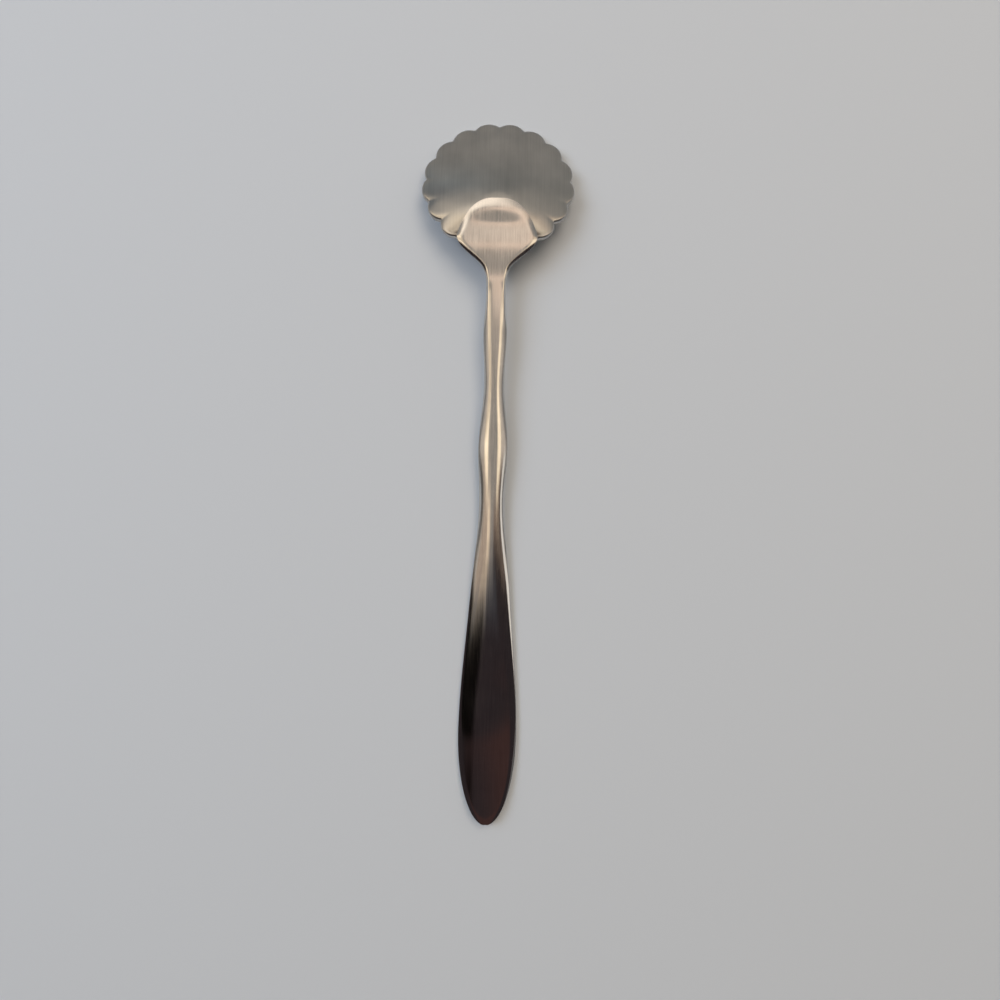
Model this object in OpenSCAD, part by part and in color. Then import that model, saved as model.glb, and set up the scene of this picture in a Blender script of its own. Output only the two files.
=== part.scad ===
// Teaspoon with a scalloped bowl, lying face down with its back up.
// Units are millimetres. +Y runs along the spoon towards the bowl, +Z is up,
// and the origin is on the table under the middle of the spoon.

/* [Spoon] */
// Length over all, seen from above
overall_length = 124.6; // [115:0.1:140]

/* [Bowl] */
// Width of the circle round the tops of the lobes
bowl_width = 27.4; // [25:0.1:31]
// Depth inside, from the plane of the rim
bowl_depth = 2.7; // [2.2:0.1:4]
// Thickness of the sheet
bowl_sheet = 0.9; // [0.6:0.05:1.3]
// Slope of the rim, which falls to the bowl's tip, in degrees
bowl_tilt = 11.5; // [8:0.5:14]
// How far the deepest point lies from the widest line, towards the tip
bowl_crown_offset = -0.8; // [-2:0.1:2]
// Fullness of the bowl: 2 is a plain dish, more has a flatter floor and steeper walls
bowl_fullness = 2; // [1.8:0.1:3]

/* [Scalloped rim] */
// Lobes that would fill a whole turn
lobes_per_turn = 18; // [16:1:20]
// Lobes on each side, from the tip to the tongue
lobes_each_side = 7; // [6:1:7]
// How far a lobe stands out from the line between its notches
lobe_rise = 1; // [0.5:0.05:1.4]
// How far the rim draws in beside the tongue
rim_draw_in = 1.7; // [0.5:0.1:2.5]
// How far the back of a lobe swells at the rim
lobe_swell = 0.22; // [0:0.02:0.4]
// How far the edge of the sheet is rounded over
rim_round = 0.4; // [0.1:0.05:0.5]
// Distance from the last notches back to the straight heel edge under the tongue
heel_margin = 0.3; // [0.2:0.05:1]

/* [Tongue] */
// How far the tongue's shoulders lie inside the last notches
tongue_inset = 0.2; // [0:0.05:0.6]
// Length of the rounded end, from the shoulders on
tongue_length = 6.3; // [5:0.1:7.5]
// Thickness of the tongue at the heel edge
tongue_thickness = 0.65; // [0.5:0.05:1.5]
// Thickness left at the rounded end, where the tongue is feathered
tongue_feather = 0.1; // [0.05:0.01:0.4]
// Height of the rounding along the tongue's edge
tongue_edge_round = 0.3; // [0.1:0.05:0.6]
// Width of the rounding along the tongue's edge
tongue_edge_width = 0.7; // [0.4:0.05:1.2]
// Height of the soft step on the tongue's face, up to the band round its end
arch_rise = 0.16; // [0:0.02:0.3]

/* [Stem] */
// Width of the neck
neck_width = 3.2; // [2.6:0.1:4]
// Distance from the heel edge back to the narrowest place of the neck
neck_at = 9; // [8:0.1:10.5]
// Width of the first swell
first_swell_width = 4.05; // [3.5:0.1:5]
// Distance from the heel edge back to the first swell
first_swell_at = 15.5; // [14:0.1:18]
// Width of the waist between the swells
waist_width = 3.4; // [2.8:0.1:4]
// Distance from the heel edge back to that waist
waist_at = 24.2; // [23:0.1:26]
// Width of the second swell
second_swell_width = 5; // [4.2:0.1:6]
// Distance from the heel edge back to the second swell
second_swell_at = 36.1; // [34:0.1:39]
// Width of the waist where the handle starts to widen
handle_waist_width = 4.2; // [3.4:0.1:5]
// Distance from the heel edge back to that waist
handle_waist_at = 45.1; // [44:0.1:48]
// Thickness of the stem
stem_thickness = 2; // [1.6:0.1:2.4]
// Width of the flat facet along the stem's back, on the swells
facet_width = 1.5; // [0.8:0.1:2]
// How far the bevels beside the facet fall to the stem's edges
bevel_fall = 0.3; // [0.1:0.05:0.5]

/* [Handle end] */
// Greatest width of the handle
handle_width = 10.1; // [8:0.1:12]
// Thickness of the handle where it touches the table
handle_thickness = 1.55; // [1.2:0.05:2]
// Length of the leaf-shaped end, from its greatest width to its point
leaf_length = 15.5; // [12:0.5:20]
// Length of the flat land that rests on the table
land_length = 11; // [8:0.5:14]
// Height of the underside of the point above the table
point_lift = 1; // [0.5:0.1:3]
// Thickness at the point
point_thickness = 1; // [0.7:0.05:1.4]
// Width of the rounding along the handle's edges
handle_edge_width = 1.6; // [1:0.1:2]
// How far the back of the handle is crowned across its width
handle_crown = 0.5; // [0.1:0.05:0.6]

/* [Joint] */
// Gap between the tongue and the bowl that the braze fills
braze_gap = 0.1; // [0.06:0.01:0.2]
// Distance from the edge of the tongue to the edge of the braze
braze_setback = 0.3; // [0.2:0.05:0.6]

/* [Hidden] */

bowl_steel = "#a9a8a4";
handle_steel = "#c9c4bb";
braze_silver = "#d8cdb4";

// Steps along one lobe, and along the heel edge
lobe_steps = 8;
heel_steps = 8;
// Rings of the bowl from its deepest point to its rim, as shares of the way
bowl_rings = [0.12, 0.24, 0.36, 0.48, 0.6, 0.7, 0.79, 0.87, 0.94];
// Lobes swell only outside this share of the way to the rim
swell_from = 0.8;
// Sharpness of the corners between the rim and the heel of the dish
corner_sharpness = 9;
// The rim draws in between these angles from the tip, in degrees
draw_in_from = 80;
draw_in_to = 130;
// Points of a section of the handle on each side of its facet, and on half of the facet
side_points = 5;
facet_points = 2;
// Points across half of the braze
half_film = 4;
// The edge of the sheet has its two corners at these shares of the thickness
rim_corners = [0.7, 0.3];
// Share of the handle's thickness that is rounded away at its edges
back_round = 0.25;
front_round = 0.22;
// Power of the curve of a rounded edge: 2 is round, more keeps its fall to the outline
edge_power = 2.3;
// Slopes of the tongue's top, of the back over the end of the land, and of the front under both waists
tongue_slope = 0.05;
land_slope = 0.02;
front_rise = 0.06;
// Rise of the back from the facet's end to the tongue, its slope there, and where the tongue's slope starts
flare_rise = 0.47;
flare_back_slope = 0.05;
plate_setback = 0.4;
// The flare at its start and end, as shares of its run, its gain in width and its mean slope
flare_start = 0.43;
flare_start_gain = 0.11;
flare_start_slope = 0.85;
flare_end = 0.78;
flare_end_gain = 0.79;
flare_end_slope = 1.85;
// Where the straight taper of the handle is met, as a share of the taper's length and gain
taper_at = 0.42;
taper_gain = 0.46;
taper_slope = 1.12;
// Shape of the leaf-shaped end: fullness of its sides and bluntness of its point
leaf_fullness = 2.8;
leaf_bluntness = 0.6;
// Shape of the tongue's rounded end: 2 is half an ellipse, less has straighter sides
tongue_end_fullness = 1.6;
// Softness of the line where the tongue's top runs up the bowl, and width of the band round its end
tongue_blend = 0.2;
arch_band = 1.5;
// Length of the soft step on the tongue's face, and half of its width
arch_run = 2.2;
arch_half = 5.5;
// Rise of the shoulder where the bowl's heel edge butts, along the spoon
step_run = 0.02;
// Distance from the handle's greatest width to the start of the land
land_setback = 1;
// Distance from the neck over which the facet closes in a round nose on the flare
facet_runout = 3.7;
// Width of the facet at the waist between the swells, as a share of its full width
waist_facet = 0.75;
// The facet fills no more than this share of the stem's width, and its columns no less than the second
facet_limit = 0.9;
facet_least = 0.2;
// Fall of the bevels at the neck, as a share of their full fall
neck_bevel = 0.33;
// Share of the neck's rounded edges that runs up to the facet
neck_edge = 0.5;
// Share of the gap that the braze leaves on each side
braze_clear = 0.1;
// Cut off each rounded end of the handle, so that its last section has a width
end_cut = 0.04;

// Value at y of a smooth curve through knots, each a place, a value and a slope
function curve(knots, y, i = 0) =
    i < len(knots) - 2 && y > knots[i + 1][0]
        ? curve(knots, y, i + 1)
        : let(a = knots[i], b = knots[i + 1], run = b[0] - a[0])
          let(t = min(1, max(0, (y - a[0]) / run)), s = 1 - t)
          a[1] * s * s * (1 + 2 * t) + a[2] * run * t * s * s
          + b[1] * t * t * (1 + 2 * s) - b[2] * run * t * t * s;

// The bowl has its own plane: across, along to the tip, and n up from the rim

lobe_angle = 360 / lobes_per_turn;
notch_radius = (bowl_width / 2 - lobe_rise) / cos(lobe_angle / 2);

// How far the rim is drawn in at an angle from the tip
function draw_in(angle) = rim_draw_in * curve([[draw_in_from, 0, 0], [draw_in_to, 1, 0]], abs(angle));

// Notch number i, counted from the one at the tip
function notch(i) =
    let(angle = i * lobe_angle)
    (notch_radius - draw_in(angle)) * [sin(angle), cos(angle)];

notches = [for (i = [lobes_each_side:-1:-lobes_each_side]) notch(i)];
root = notch(lobes_each_side);
heel_v = root[1] - heel_margin;
heel_half = root[0] - heel_margin;

// Point at a share of the way along the lobe between notches a and b
function lobe_point(a, b, share) =
    let(chord = b - a, half = norm(chord) / 2)
    let(radius = (half * half + lobe_rise * lobe_rise) / (2 * lobe_rise))
    let(out = [chord[1], -chord[0]] / (2 * half), along = chord / (2 * half))
    let(turn = asin(half / radius) * (2 * share - 1))
    (a + b) / 2 + out * (lobe_rise - radius + radius * cos(turn)) + along * radius * sin(turn);

// The rim: each entry is a point in the bowl's plane and its swell, 1 on top of a lobe
rim = concat(
    [for (i = [0:len(notches) - 2], k = [0:lobe_steps - 1])
        [lobe_point(notches[i], notches[i + 1], k / lobe_steps), sin(180 * k / lobe_steps)]],
    [[notches[len(notches) - 1], 0]],
    [for (k = [0:heel_steps]) [[heel_half * (2 * k / heel_steps - 1), heel_v], 0]]
);
rim_top = max([for (r = rim) r[0][1]]);

crown = [0, bowl_crown_offset];
heel_reach = bowl_crown_offset - heel_v;

// Share of the way from the crown to the line round the lobes' tops
function lobe_share(p) =
    let(w = p - crown, c = crown * w)
    let(radius = bowl_width / 2 - draw_in(atan2(p[0], p[1])))
    let(room = radius * radius - crown * crown)
    (c + sqrt(c * c + room * (w * w))) / room;

// Share of the way from the crown to the rim, smooth all over the dish
function dish_share(p) =
    let(heel = max(0, (crown[1] - p[1]) / heel_reach))
    pow(pow(lobe_share(p), corner_sharpness) + pow(heel, corner_sharpness), 1 / corner_sharpness);

function dish_height(p) = bowl_depth * max(0, 1 - pow(dish_share(p), bowl_fullness));

// Height of the sheet along n, which grows where the dish is steep
function sheet_height(p) =
    let(slope = bowl_depth * bowl_fullness * pow(min(1, dish_share(p)), bowl_fullness - 1) / heel_reach)
    bowl_sheet * sqrt(1 + slope * slope);

function back_height(p) = dish_height(p) + sheet_height(p);

// Place of a point of the rim drawn in to a share, and its height along n in the sheet
rim_inset = 1 - rim_round / (bowl_width / 2);
function ring_point(r, share) = crown + share * (r[0] - crown);
function ring_height(r, share, sheet_share) =
    let(p = ring_point(r, share))
    let(swell = lobe_swell * r[1] * curve([[swell_from, 0, 0], [1, 1, 0]], share))
    dish_height(p) + swell + sheet_share * sheet_height(p);

// The bowl is lowered until the lobes at its tip touch the table
bowl_drop = min([for (r = rim)
    let(p = ring_point(r, rim_inset), n = ring_height(r, rim_inset, 0))
    (rim_top - p[1]) * sin(bowl_tilt) + n * cos(bowl_tilt)]);
bowl_y = overall_length / 2 - rim_top * cos(bowl_tilt) - bowl_sheet / 2 * sin(bowl_tilt);

// Place in the spoon's frame of a point of the bowl's plane raised by n
function bowl_place(p, n) = [
    p[0],
    bowl_y + p[1] * cos(bowl_tilt) + n * sin(bowl_tilt),
    (rim_top - p[1]) * sin(bowl_tilt) + n * cos(bowl_tilt) - bowl_drop
];

// Height above the table of the bowl's back at a place seen from above
function bowl_back(x, y, n = bowl_depth, rounds = 4) =
    let(p = [x, (y - bowl_y - n * sin(bowl_tilt)) / cos(bowl_tilt)])
    rounds == 0 ? bowl_place(p, n)[2] : bowl_back(x, y, back_height(p), rounds - 1);

function smooth_max(a, b, softness) = (a + b + sqrt(pow(a - b, 2) + pow(softness, 2))) / 2;

// Places along the handle, in y

heel_y = bowl_place([0, heel_v], 0)[1] - braze_gap;
neck_y = heel_y - neck_at;
shoulder_y = bowl_place(root, bowl_sheet)[1];
arch_y = shoulder_y + tongue_length;
waist_y = heel_y - handle_waist_at;
point_y = -overall_length / 2;
leaf_y = point_y + leaf_length;
land_start = leaf_y - land_setback;
land_end = land_start + land_length;

// Half widths along the handle, from its leaf-shaped end to the tongue's shoulders

tongue_half = root[0] - tongue_inset;
flare_gain = tongue_half - neck_width / 2;
flare_run = shoulder_y - neck_y;
flare_slope = flare_gain / flare_run;
taper_run = waist_y - leaf_y;
taper_width = (handle_width - handle_waist_width) / 2;
width_knots = [
    [leaf_y, handle_width / 2, 0],
    [waist_y - taper_run * taper_at, handle_waist_width / 2 + taper_width * taper_gain,
        -taper_slope * taper_width / taper_run],
    [waist_y, handle_waist_width / 2, 0],
    [heel_y - second_swell_at, second_swell_width / 2, 0],
    [heel_y - waist_at, waist_width / 2, 0],
    [heel_y - first_swell_at, first_swell_width / 2, 0],
    [neck_y, neck_width / 2, 0],
    [neck_y + flare_run * flare_start, neck_width / 2 + flare_gain * flare_start_gain,
        flare_slope * flare_start_slope],
    [neck_y + flare_run * flare_end, neck_width / 2 + flare_gain * flare_end_gain,
        flare_slope * flare_end_slope],
    [shoulder_y, tongue_half, 0]
];

function half_width(y) =
    y < leaf_y
        ? handle_width / 2 * pow(1 - pow((leaf_y - y) / leaf_length, leaf_fullness), leaf_bluntness)
        : y > shoulder_y
            ? tongue_half * sqrt(max(0, 1 - pow((y - shoulder_y) / tongue_length, tongue_end_fullness)))
            : curve(width_knots, y);

// Heights of the back and the front of the handle along its middle

heel_top = bowl_back(0, heel_y + braze_gap) + braze_gap + tongue_thickness;
heel_front = bowl_place([0, heel_v], 0)[2];
plate_y = heel_y - plate_setback;
point_top = point_lift + point_thickness;
back_knots = [
    [point_y, point_top, -2 * (point_top - handle_thickness) / leaf_length],
    [land_start, handle_thickness, 0],
    [land_end, handle_thickness, land_slope],
    [neck_y + facet_runout, heel_top - flare_rise, flare_back_slope],
    [plate_y, heel_top, tongue_slope],
    [arch_y, heel_top + tongue_slope * (arch_y - plate_y), tongue_slope]
];
function back_line(y) = curve(back_knots, y);

front_knots = [
    [point_y, point_lift, -2 * point_lift / leaf_length],
    [land_start, 0, 0],
    [land_end, 0, 0],
    [waist_y, back_line(waist_y) - stem_thickness, front_rise],
    [neck_y, back_line(neck_y) - stem_thickness, land_slope],
    [heel_y, heel_front, 0]
];
function front_line(y) = curve(front_knots, y);

// How far the back is crowned and bevelled, and the facet's width

first_swell_y = heel_y - first_swell_at;
crown_knots = [[land_end, handle_crown, 0], [waist_y, handle_crown / 2, 0], [neck_y, 0, 0]];
bevel_knots = [
    [leaf_y, 0, 0],
    [waist_y, bevel_fall, 0],
    [first_swell_y, bevel_fall, 0],
    [neck_y, bevel_fall * neck_bevel, 0],
    [neck_y + facet_runout, 0, 0]
];
facet_knots = [
    [heel_y - second_swell_at, facet_width, 0],
    [heel_y - waist_at, facet_width * waist_facet, 0],
    [first_swell_y, facet_width, 0]
];
stem_knots = [[leaf_y, 0, 0], [waist_y, 1, 0], [first_swell_y, 1, 0], [neck_y, neck_edge, 0], [heel_y, 0, 0]];

// Share of the half width inside the facet
function facet_share(y) =
    let(nose = min(1, max(0, (y - neck_y) / facet_runout)))
    min(facet_limit, curve(facet_knots, y) / 2 * sqrt(1 - nose * nose) / half_width(y));

// Share of the way from the facet's edge to the outline, below 0 on the facet
function side_share(share, y) = (abs(share) - facet_share(y)) / (1 - facet_share(y));

// Distance to the outline of a rounded end, from the shares of its half width and of its length
function end_distance(side, tip, half, length, across, along) =
    let(inside = max(0, 1 - pow(side, across) - pow(tip, along)))
    inside / norm([across * pow(side, across - 1) / half, along * pow(tip, along - 1) / length]);

// Distance to the outline in plan, true near the edge
function edge_distance(share, y) =
    let(x = abs(share) * half_width(y))
    y < leaf_y
        ? end_distance(2 * x / handle_width, (leaf_y - y) / leaf_length,
            handle_width / 2, leaf_length, 1 / leaf_bluntness, leaf_fullness)
        : y > shoulder_y
            ? end_distance(x / tongue_half, (y - shoulder_y) / tongue_length,
                tongue_half, tongue_length, 2, tongue_end_fullness)
            : half_width(y) - x;

// Fall of a rounded edge: 0 on the flat or the facet, 1 at the outline
function edge_fall(share, y) =
    let(plain = 1 - edge_distance(share, y) / (y < neck_y ? handle_edge_width : tongue_edge_width))
    let(stem = curve(stem_knots, y))
    pow(min(1, max(0, plain * (1 - stem) + side_share(share, y) * stem)), edge_power);

// How far the section has changed from the stem's to the tongue's, 0 to 1
function flare_share(y) = curve([[neck_y, 0, 0], [heel_y, 1, 0]], y);

// Rounding of the tongue's edge, which runs out towards its end, and the soft step on its face
function tongue_round(y) = tongue_edge_round * curve([[shoulder_y, 1, 0], [arch_y, 0, 0]], y);
function tongue_step(share, y) =
    let(middle = max(0, 1 - pow(share * half_width(y) / arch_half, 2)))
    curve([[arch_y - arch_band - arch_run, 0, 0], [arch_y - arch_band, arch_rise, 0]], y) * middle * middle;

// Height of the handle's back at a share of its half width
function handle_back(share, y) =
    let(stem_round = back_round * (back_line(y) - front_line(y)), f = flare_share(y))
    let(round_off = (stem_round * (1 - f) + tongue_round(y) * f) * edge_fall(share, y))
    let(bevel = curve(bevel_knots, y) * max(0, side_share(share, y)))
    let(crowned = curve(crown_knots, y) * share * share)
    let(top = back_line(y) + tongue_step(share, y) - crowned - bevel - round_off)
    let(softness = curve([[heel_y, 0, 0], [arch_y - arch_band, tongue_blend, 0]], y))
    y < heel_y + step_run
        ? top
        : smooth_max(top, bowl_back(share * half_width(y), y) + braze_gap + tongue_feather, softness);

// Height of the handle's front, which follows the bowl's back on the tongue
function handle_front(share, y) =
    let(round_off = front_round * (back_line(y) - front_line(y)) * (1 - flare_share(y)))
    y < heel_y + step_run
        ? front_line(y) + round_off * edge_fall(share, y)
        : bowl_back(share * half_width(y), y) + braze_gap;

// Evenly spaced places from a to b, and places that crowd towards b
function spread(a, b, count) = [for (i = [0:count - 1]) a + (b - a) * i / count];
function crowd(a, b, count) = [for (i = [1:count]) a + (b - a) * sin(90 * i / count)];
function reversed(list) = [for (i = [len(list) - 1:-1:0]) list[i]];

handle_stations = concat(
    reversed(crowd(leaf_y, point_y + end_cut, 10)),
    spread(leaf_y, land_start, 1),
    spread(land_start, land_end, 4),
    spread(land_end, waist_y, 12),
    spread(waist_y, neck_y, 24),
    spread(neck_y, heel_y, 12),
    [heel_y],
    spread(heel_y + step_run, shoulder_y, 2),
    [shoulder_y],
    crowd(shoulder_y, arch_y - end_cut, 10)
);

// Shares across a section, which keep to the facet's edges on the stem
function section_shares(y) =
    let(facet = max(facet_least, facet_share(y)))
    let(side = [for (k = [1:side_points]) facet + (1 - facet) * sin(90 * k / side_points)])
    concat(-reversed(side), [for (k = [-facet_points:facet_points]) facet * k / facet_points], side);

// One section of the handle: over the back from left to right, then along the front
function section(y) =
    let(shares = section_shares(y))
    concat(
        [for (s = shares) [s * half_width(y), y, handle_back(s, y)]],
        [for (s = reversed(shares)) [s * half_width(y), y, handle_front(s, y)]]
    );

// A closed skin over sections that have as many points each, over the back and then along the front
module skin(sections) {
    size = len(sections[0]);
    last = len(sections) - 1;
    walls = [for (i = [0:last - 1], k = [0:size - 1])
        let(a = i * size + k, b = i * size + (k + 1) % size)
        each [[a, a + size, b + size], [a, b + size, b]]];
    start = [for (k = [0:size / 2 - 2])
        let(a = k, b = size - 2 - k)
        each [[a, a + 1, b], [a, b, b + 1]]];
    end = [for (k = [0:size / 2 - 2])
        let(a = last * size + k, b = last * size + size - 2 - k)
        each [[a, b, a + 1], [a, b + 1, b]]];
    polyhedron(points = [for (s = sections) each s], faces = concat(walls, start, end), convexity = 6);
}

// One ring of the bowl, at a share of the way to the rim and a share of the sheet's height
function bowl_ring(share, sheet_share) = [for (r = rim)
    bowl_place(ring_point(r, share), ring_height(r, share, sheet_share))];

module bowl() {
    size = len(rim);
    rings = concat(
        [for (share = bowl_rings) bowl_ring(share, 1)],
        [bowl_ring(rim_inset, 1)],
        [for (corner = rim_corners) bowl_ring(1, corner)],
        [bowl_ring(rim_inset, 0)],
        [for (share = reversed(bowl_rings)) bowl_ring(share, 0)]
    );
    last = len(rings) - 1;
    top = bowl_place(crown, back_height(crown));
    floor = bowl_place(crown, dish_height(crown));
    points = concat([for (ring = rings) each ring], [top, floor]);
    walls = [for (i = [0:last - 1], k = [0:size - 1])
        let(a = i * size + k, b = i * size + (k + 1) % size)
        each [[a, b, b + size], [a, b + size, a + size]]];
    top_fan = [for (k = [0:size - 1]) [len(points) - 2, (k + 1) % size, k]];
    floor_fan = [for (k = [0:size - 1]) [len(points) - 1, last * size + k, last * size + (k + 1) % size]];
    color(bowl_steel)
        polyhedron(points = points, faces = concat(walls, top_fan, floor_fan), convexity = 6);
}

module handle() {
    color(handle_steel)
        skin([for (y = handle_stations) section(y)]);
}

// The braze lies between the bowl's back and the tongue, a little inside the tongue's edge
module braze_layer() {
    clear = braze_gap * braze_clear;
    shares = [for (k = [-half_film:half_film]) k / half_film];
    function film_half(y) = half_width(y) - braze_setback;
    function film(y) = concat(
        [for (s = shares) [s * film_half(y), y, bowl_back(s * film_half(y), y) + braze_gap - clear]],
        [for (s = reversed(shares)) [s * film_half(y), y, bowl_back(s * film_half(y), y) + clear * 2]]
    );
    start = heel_y + braze_gap + braze_setback;
    stations = concat(spread(start, shoulder_y, 2), crowd(shoulder_y, arch_y - braze_setback, 8));
    color(braze_silver)
        skin([for (y = stations) film(y)]);
}

bowl();
handle();
braze_layer();
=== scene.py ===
"""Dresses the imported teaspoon: a satin bowl with a scalloped rim, a polished handle and the braze between.

Sizes are in millimetres, as on a drawing, and a finished piece is scaled to Blender's metres. The frame is
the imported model's: +Y runs along the spoon to the tip of the bowl, +Z is up, and the table is at z = 0.
"""

import logging
import math
from dataclasses import dataclass, field
from enum import Enum

import bmesh
import bpy
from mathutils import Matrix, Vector


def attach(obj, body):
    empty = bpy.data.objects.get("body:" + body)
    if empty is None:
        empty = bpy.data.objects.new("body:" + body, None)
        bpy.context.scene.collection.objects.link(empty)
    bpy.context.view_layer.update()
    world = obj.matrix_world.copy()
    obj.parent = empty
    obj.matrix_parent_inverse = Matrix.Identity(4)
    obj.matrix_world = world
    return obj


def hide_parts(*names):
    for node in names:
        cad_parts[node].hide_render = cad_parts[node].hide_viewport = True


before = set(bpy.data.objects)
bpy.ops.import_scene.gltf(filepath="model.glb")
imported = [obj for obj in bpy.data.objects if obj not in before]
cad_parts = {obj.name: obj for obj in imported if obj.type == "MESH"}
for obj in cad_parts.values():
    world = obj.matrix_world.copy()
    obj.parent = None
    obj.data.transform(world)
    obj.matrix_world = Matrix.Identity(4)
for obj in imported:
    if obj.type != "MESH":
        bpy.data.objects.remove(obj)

MM = 0.001
BODY = "root"
BRUSH_MAP = "brush"
BRUSH_TILE = 0.02
BOWL_TIP_Y = 62.3
HANDLE_POINT_Y = -62.55

log = logging.getLogger("teaspoon")

Colour = tuple[float, float, float, float]
Point = tuple[float, float, float]


class Node(Enum):
    """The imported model's nodes."""

    BOWL = "bowl"
    HANDLE = "handle"
    BRAZE = "braze_layer"


class Slot(Enum):
    """The record's material slots."""

    BOWL_STEEL = "bowl_steel"
    HANDLE_STEEL = "handle_steel"
    SILVER_BRAZE = "silver_braze"


def linear(hex_colour: str, strength: float = 1.0) -> Colour:
    """Turns an sRGB hex colour into linear light.

    Args:
        hex_colour: Six hex digits after a hash.
        strength: Factor on the light, for lamps.

    Returns:
        Red, green, blue and an alpha of one.
    """
    shares = [int(hex_colour[i:i + 2], 16) / 255 for i in (1, 3, 5)]
    light = [s / 12.92 if s <= 0.04045 else ((s + 0.055) / 1.055) ** 2.4 for s in shares]
    return (light[0] * strength, light[1] * strength, light[2] * strength, 1.0)


def add_node(
    tree: bpy.types.NodeTree, kind: str, links: dict[str | int, object] | None = None, **settings: object,
) -> bpy.types.Node:
    """Adds a shader node, sets its values and links its inputs.

    Args:
        tree: The node tree of a material or of the world.
        kind: Blender's name of the node type, without its ShaderNode prefix.
        links: Input name or number to the output socket or the plain value that it takes.
        **settings: Properties of the node itself.

    Returns:
        The new node.
    """
    node = tree.nodes.new("ShaderNode" + kind)
    for name, value in settings.items():
        setattr(node, name, value)
    for name, source in (links or {}).items():
        if isinstance(source, bpy.types.NodeSocket):
            tree.links.new(source, node.inputs[name])
        else:
            node.inputs[name].default_value = source
    return node


@dataclass(frozen=True)
class Knot:
    """A place along the spoon, with the value and the slope that a smooth curve has there."""

    place: float
    value: float
    slope: float = 0.0


def smooth_curve(knots: list[Knot], place: float) -> float:
    """Finds the value of a smooth curve through knots.

    Args:
        knots: The knots in order of their places.
        place: Where the value is wanted. Outside the knots the end values hold.

    Returns:
        The curve's value there.
    """
    pairs = list(zip(knots, knots[1:]))
    a, b = next((pair for pair in pairs if place <= pair[1].place), pairs[-1])
    run = b.place - a.place
    t = min(1.0, max(0.0, (place - a.place) / run))
    s = 1.0 - t
    start = a.value * s * s * (1 + 2 * t) + a.slope * run * t * s * s
    end = b.value * t * t * (1 + 2 * s) - b.slope * run * t * t * s
    return start + end


def smooth_max(a: float, b: float, softness: float) -> float:
    """Gives the larger of two values, with a rounded change from one to the other."""
    return (a + b + math.hypot(a - b, softness)) / 2


@dataclass(frozen=True)
class RoundedEnd:
    """An end of the handle's outline that closes in a curve, as a superellipse does."""

    start: float
    reach: float
    half: float
    across: float
    along: float

    def share(self, y: float) -> float:
        """Gives the share of the way from where the end starts to its tip, 0 to 1."""
        return min(1.0, max(0.0, (y - self.start) / self.reach))

    def half_width(self, y: float) -> float:
        """Gives half the width at a place along the end."""
        return self.half * (1 - self.share(y) ** self.along) ** (1 / self.across)

    def edge_distance(self, x: float, y: float) -> float:
        """Finds the distance to the outline, which is true near the edge and too large in the middle.

        Args:
            x: Place across the end.
            y: Place along the end.

        Returns:
            The distance in millimetres.
        """
        side, tip = abs(x) / self.half, self.share(y)
        inside = max(0.0, 1 - side ** self.across - tip ** self.along)
        steep_x = self.across * side ** (self.across - 1) / self.half
        steep_y = self.along * tip ** (self.along - 1) / abs(self.reach)
        return inside / max(math.hypot(steep_x, steep_y), 1e-6)


def new_piece(name: str) -> bpy.types.Object:
    """Names the object that an operator has just added, and its mesh."""
    piece = bpy.context.active_object
    piece.name = name
    piece.data.name = name
    return piece


def apply_modifier(piece: bpy.types.Object, kind: str, **settings: object) -> None:
    """Adds a modifier to a piece and applies it.

    Args:
        piece: The object, which is active and in object mode.
        kind: Blender's name of the modifier type.
        **settings: The modifier's own values.
    """
    modifier = piece.modifiers.new(kind.title(), kind)
    for name, value in settings.items():
        setattr(modifier, name, value)
    bpy.ops.object.modifier_apply(modifier=modifier.name)


def finish_piece(piece: bpy.types.Object, material: bpy.types.Material, node: Node) -> None:
    """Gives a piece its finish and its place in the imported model.

    Args:
        piece: The finished object, at the origin and in metres.
        material: Its material.
        node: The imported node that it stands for.
    """
    brush = piece.data.uv_layers.new(name=BRUSH_MAP)
    corners = [piece.data.vertices[loop.vertex_index].co for loop in piece.data.loops]
    brush.data.foreach_set("uv", [place / BRUSH_TILE for corner in corners for place in (corner.x, corner.y)])
    piece.data.materials.clear()
    piece.data.materials.append(material)
    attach(piece, BODY)
    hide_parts(node.value)
    log.info("%s: %d faces", piece.name, len(piece.data.polygons))


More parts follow.
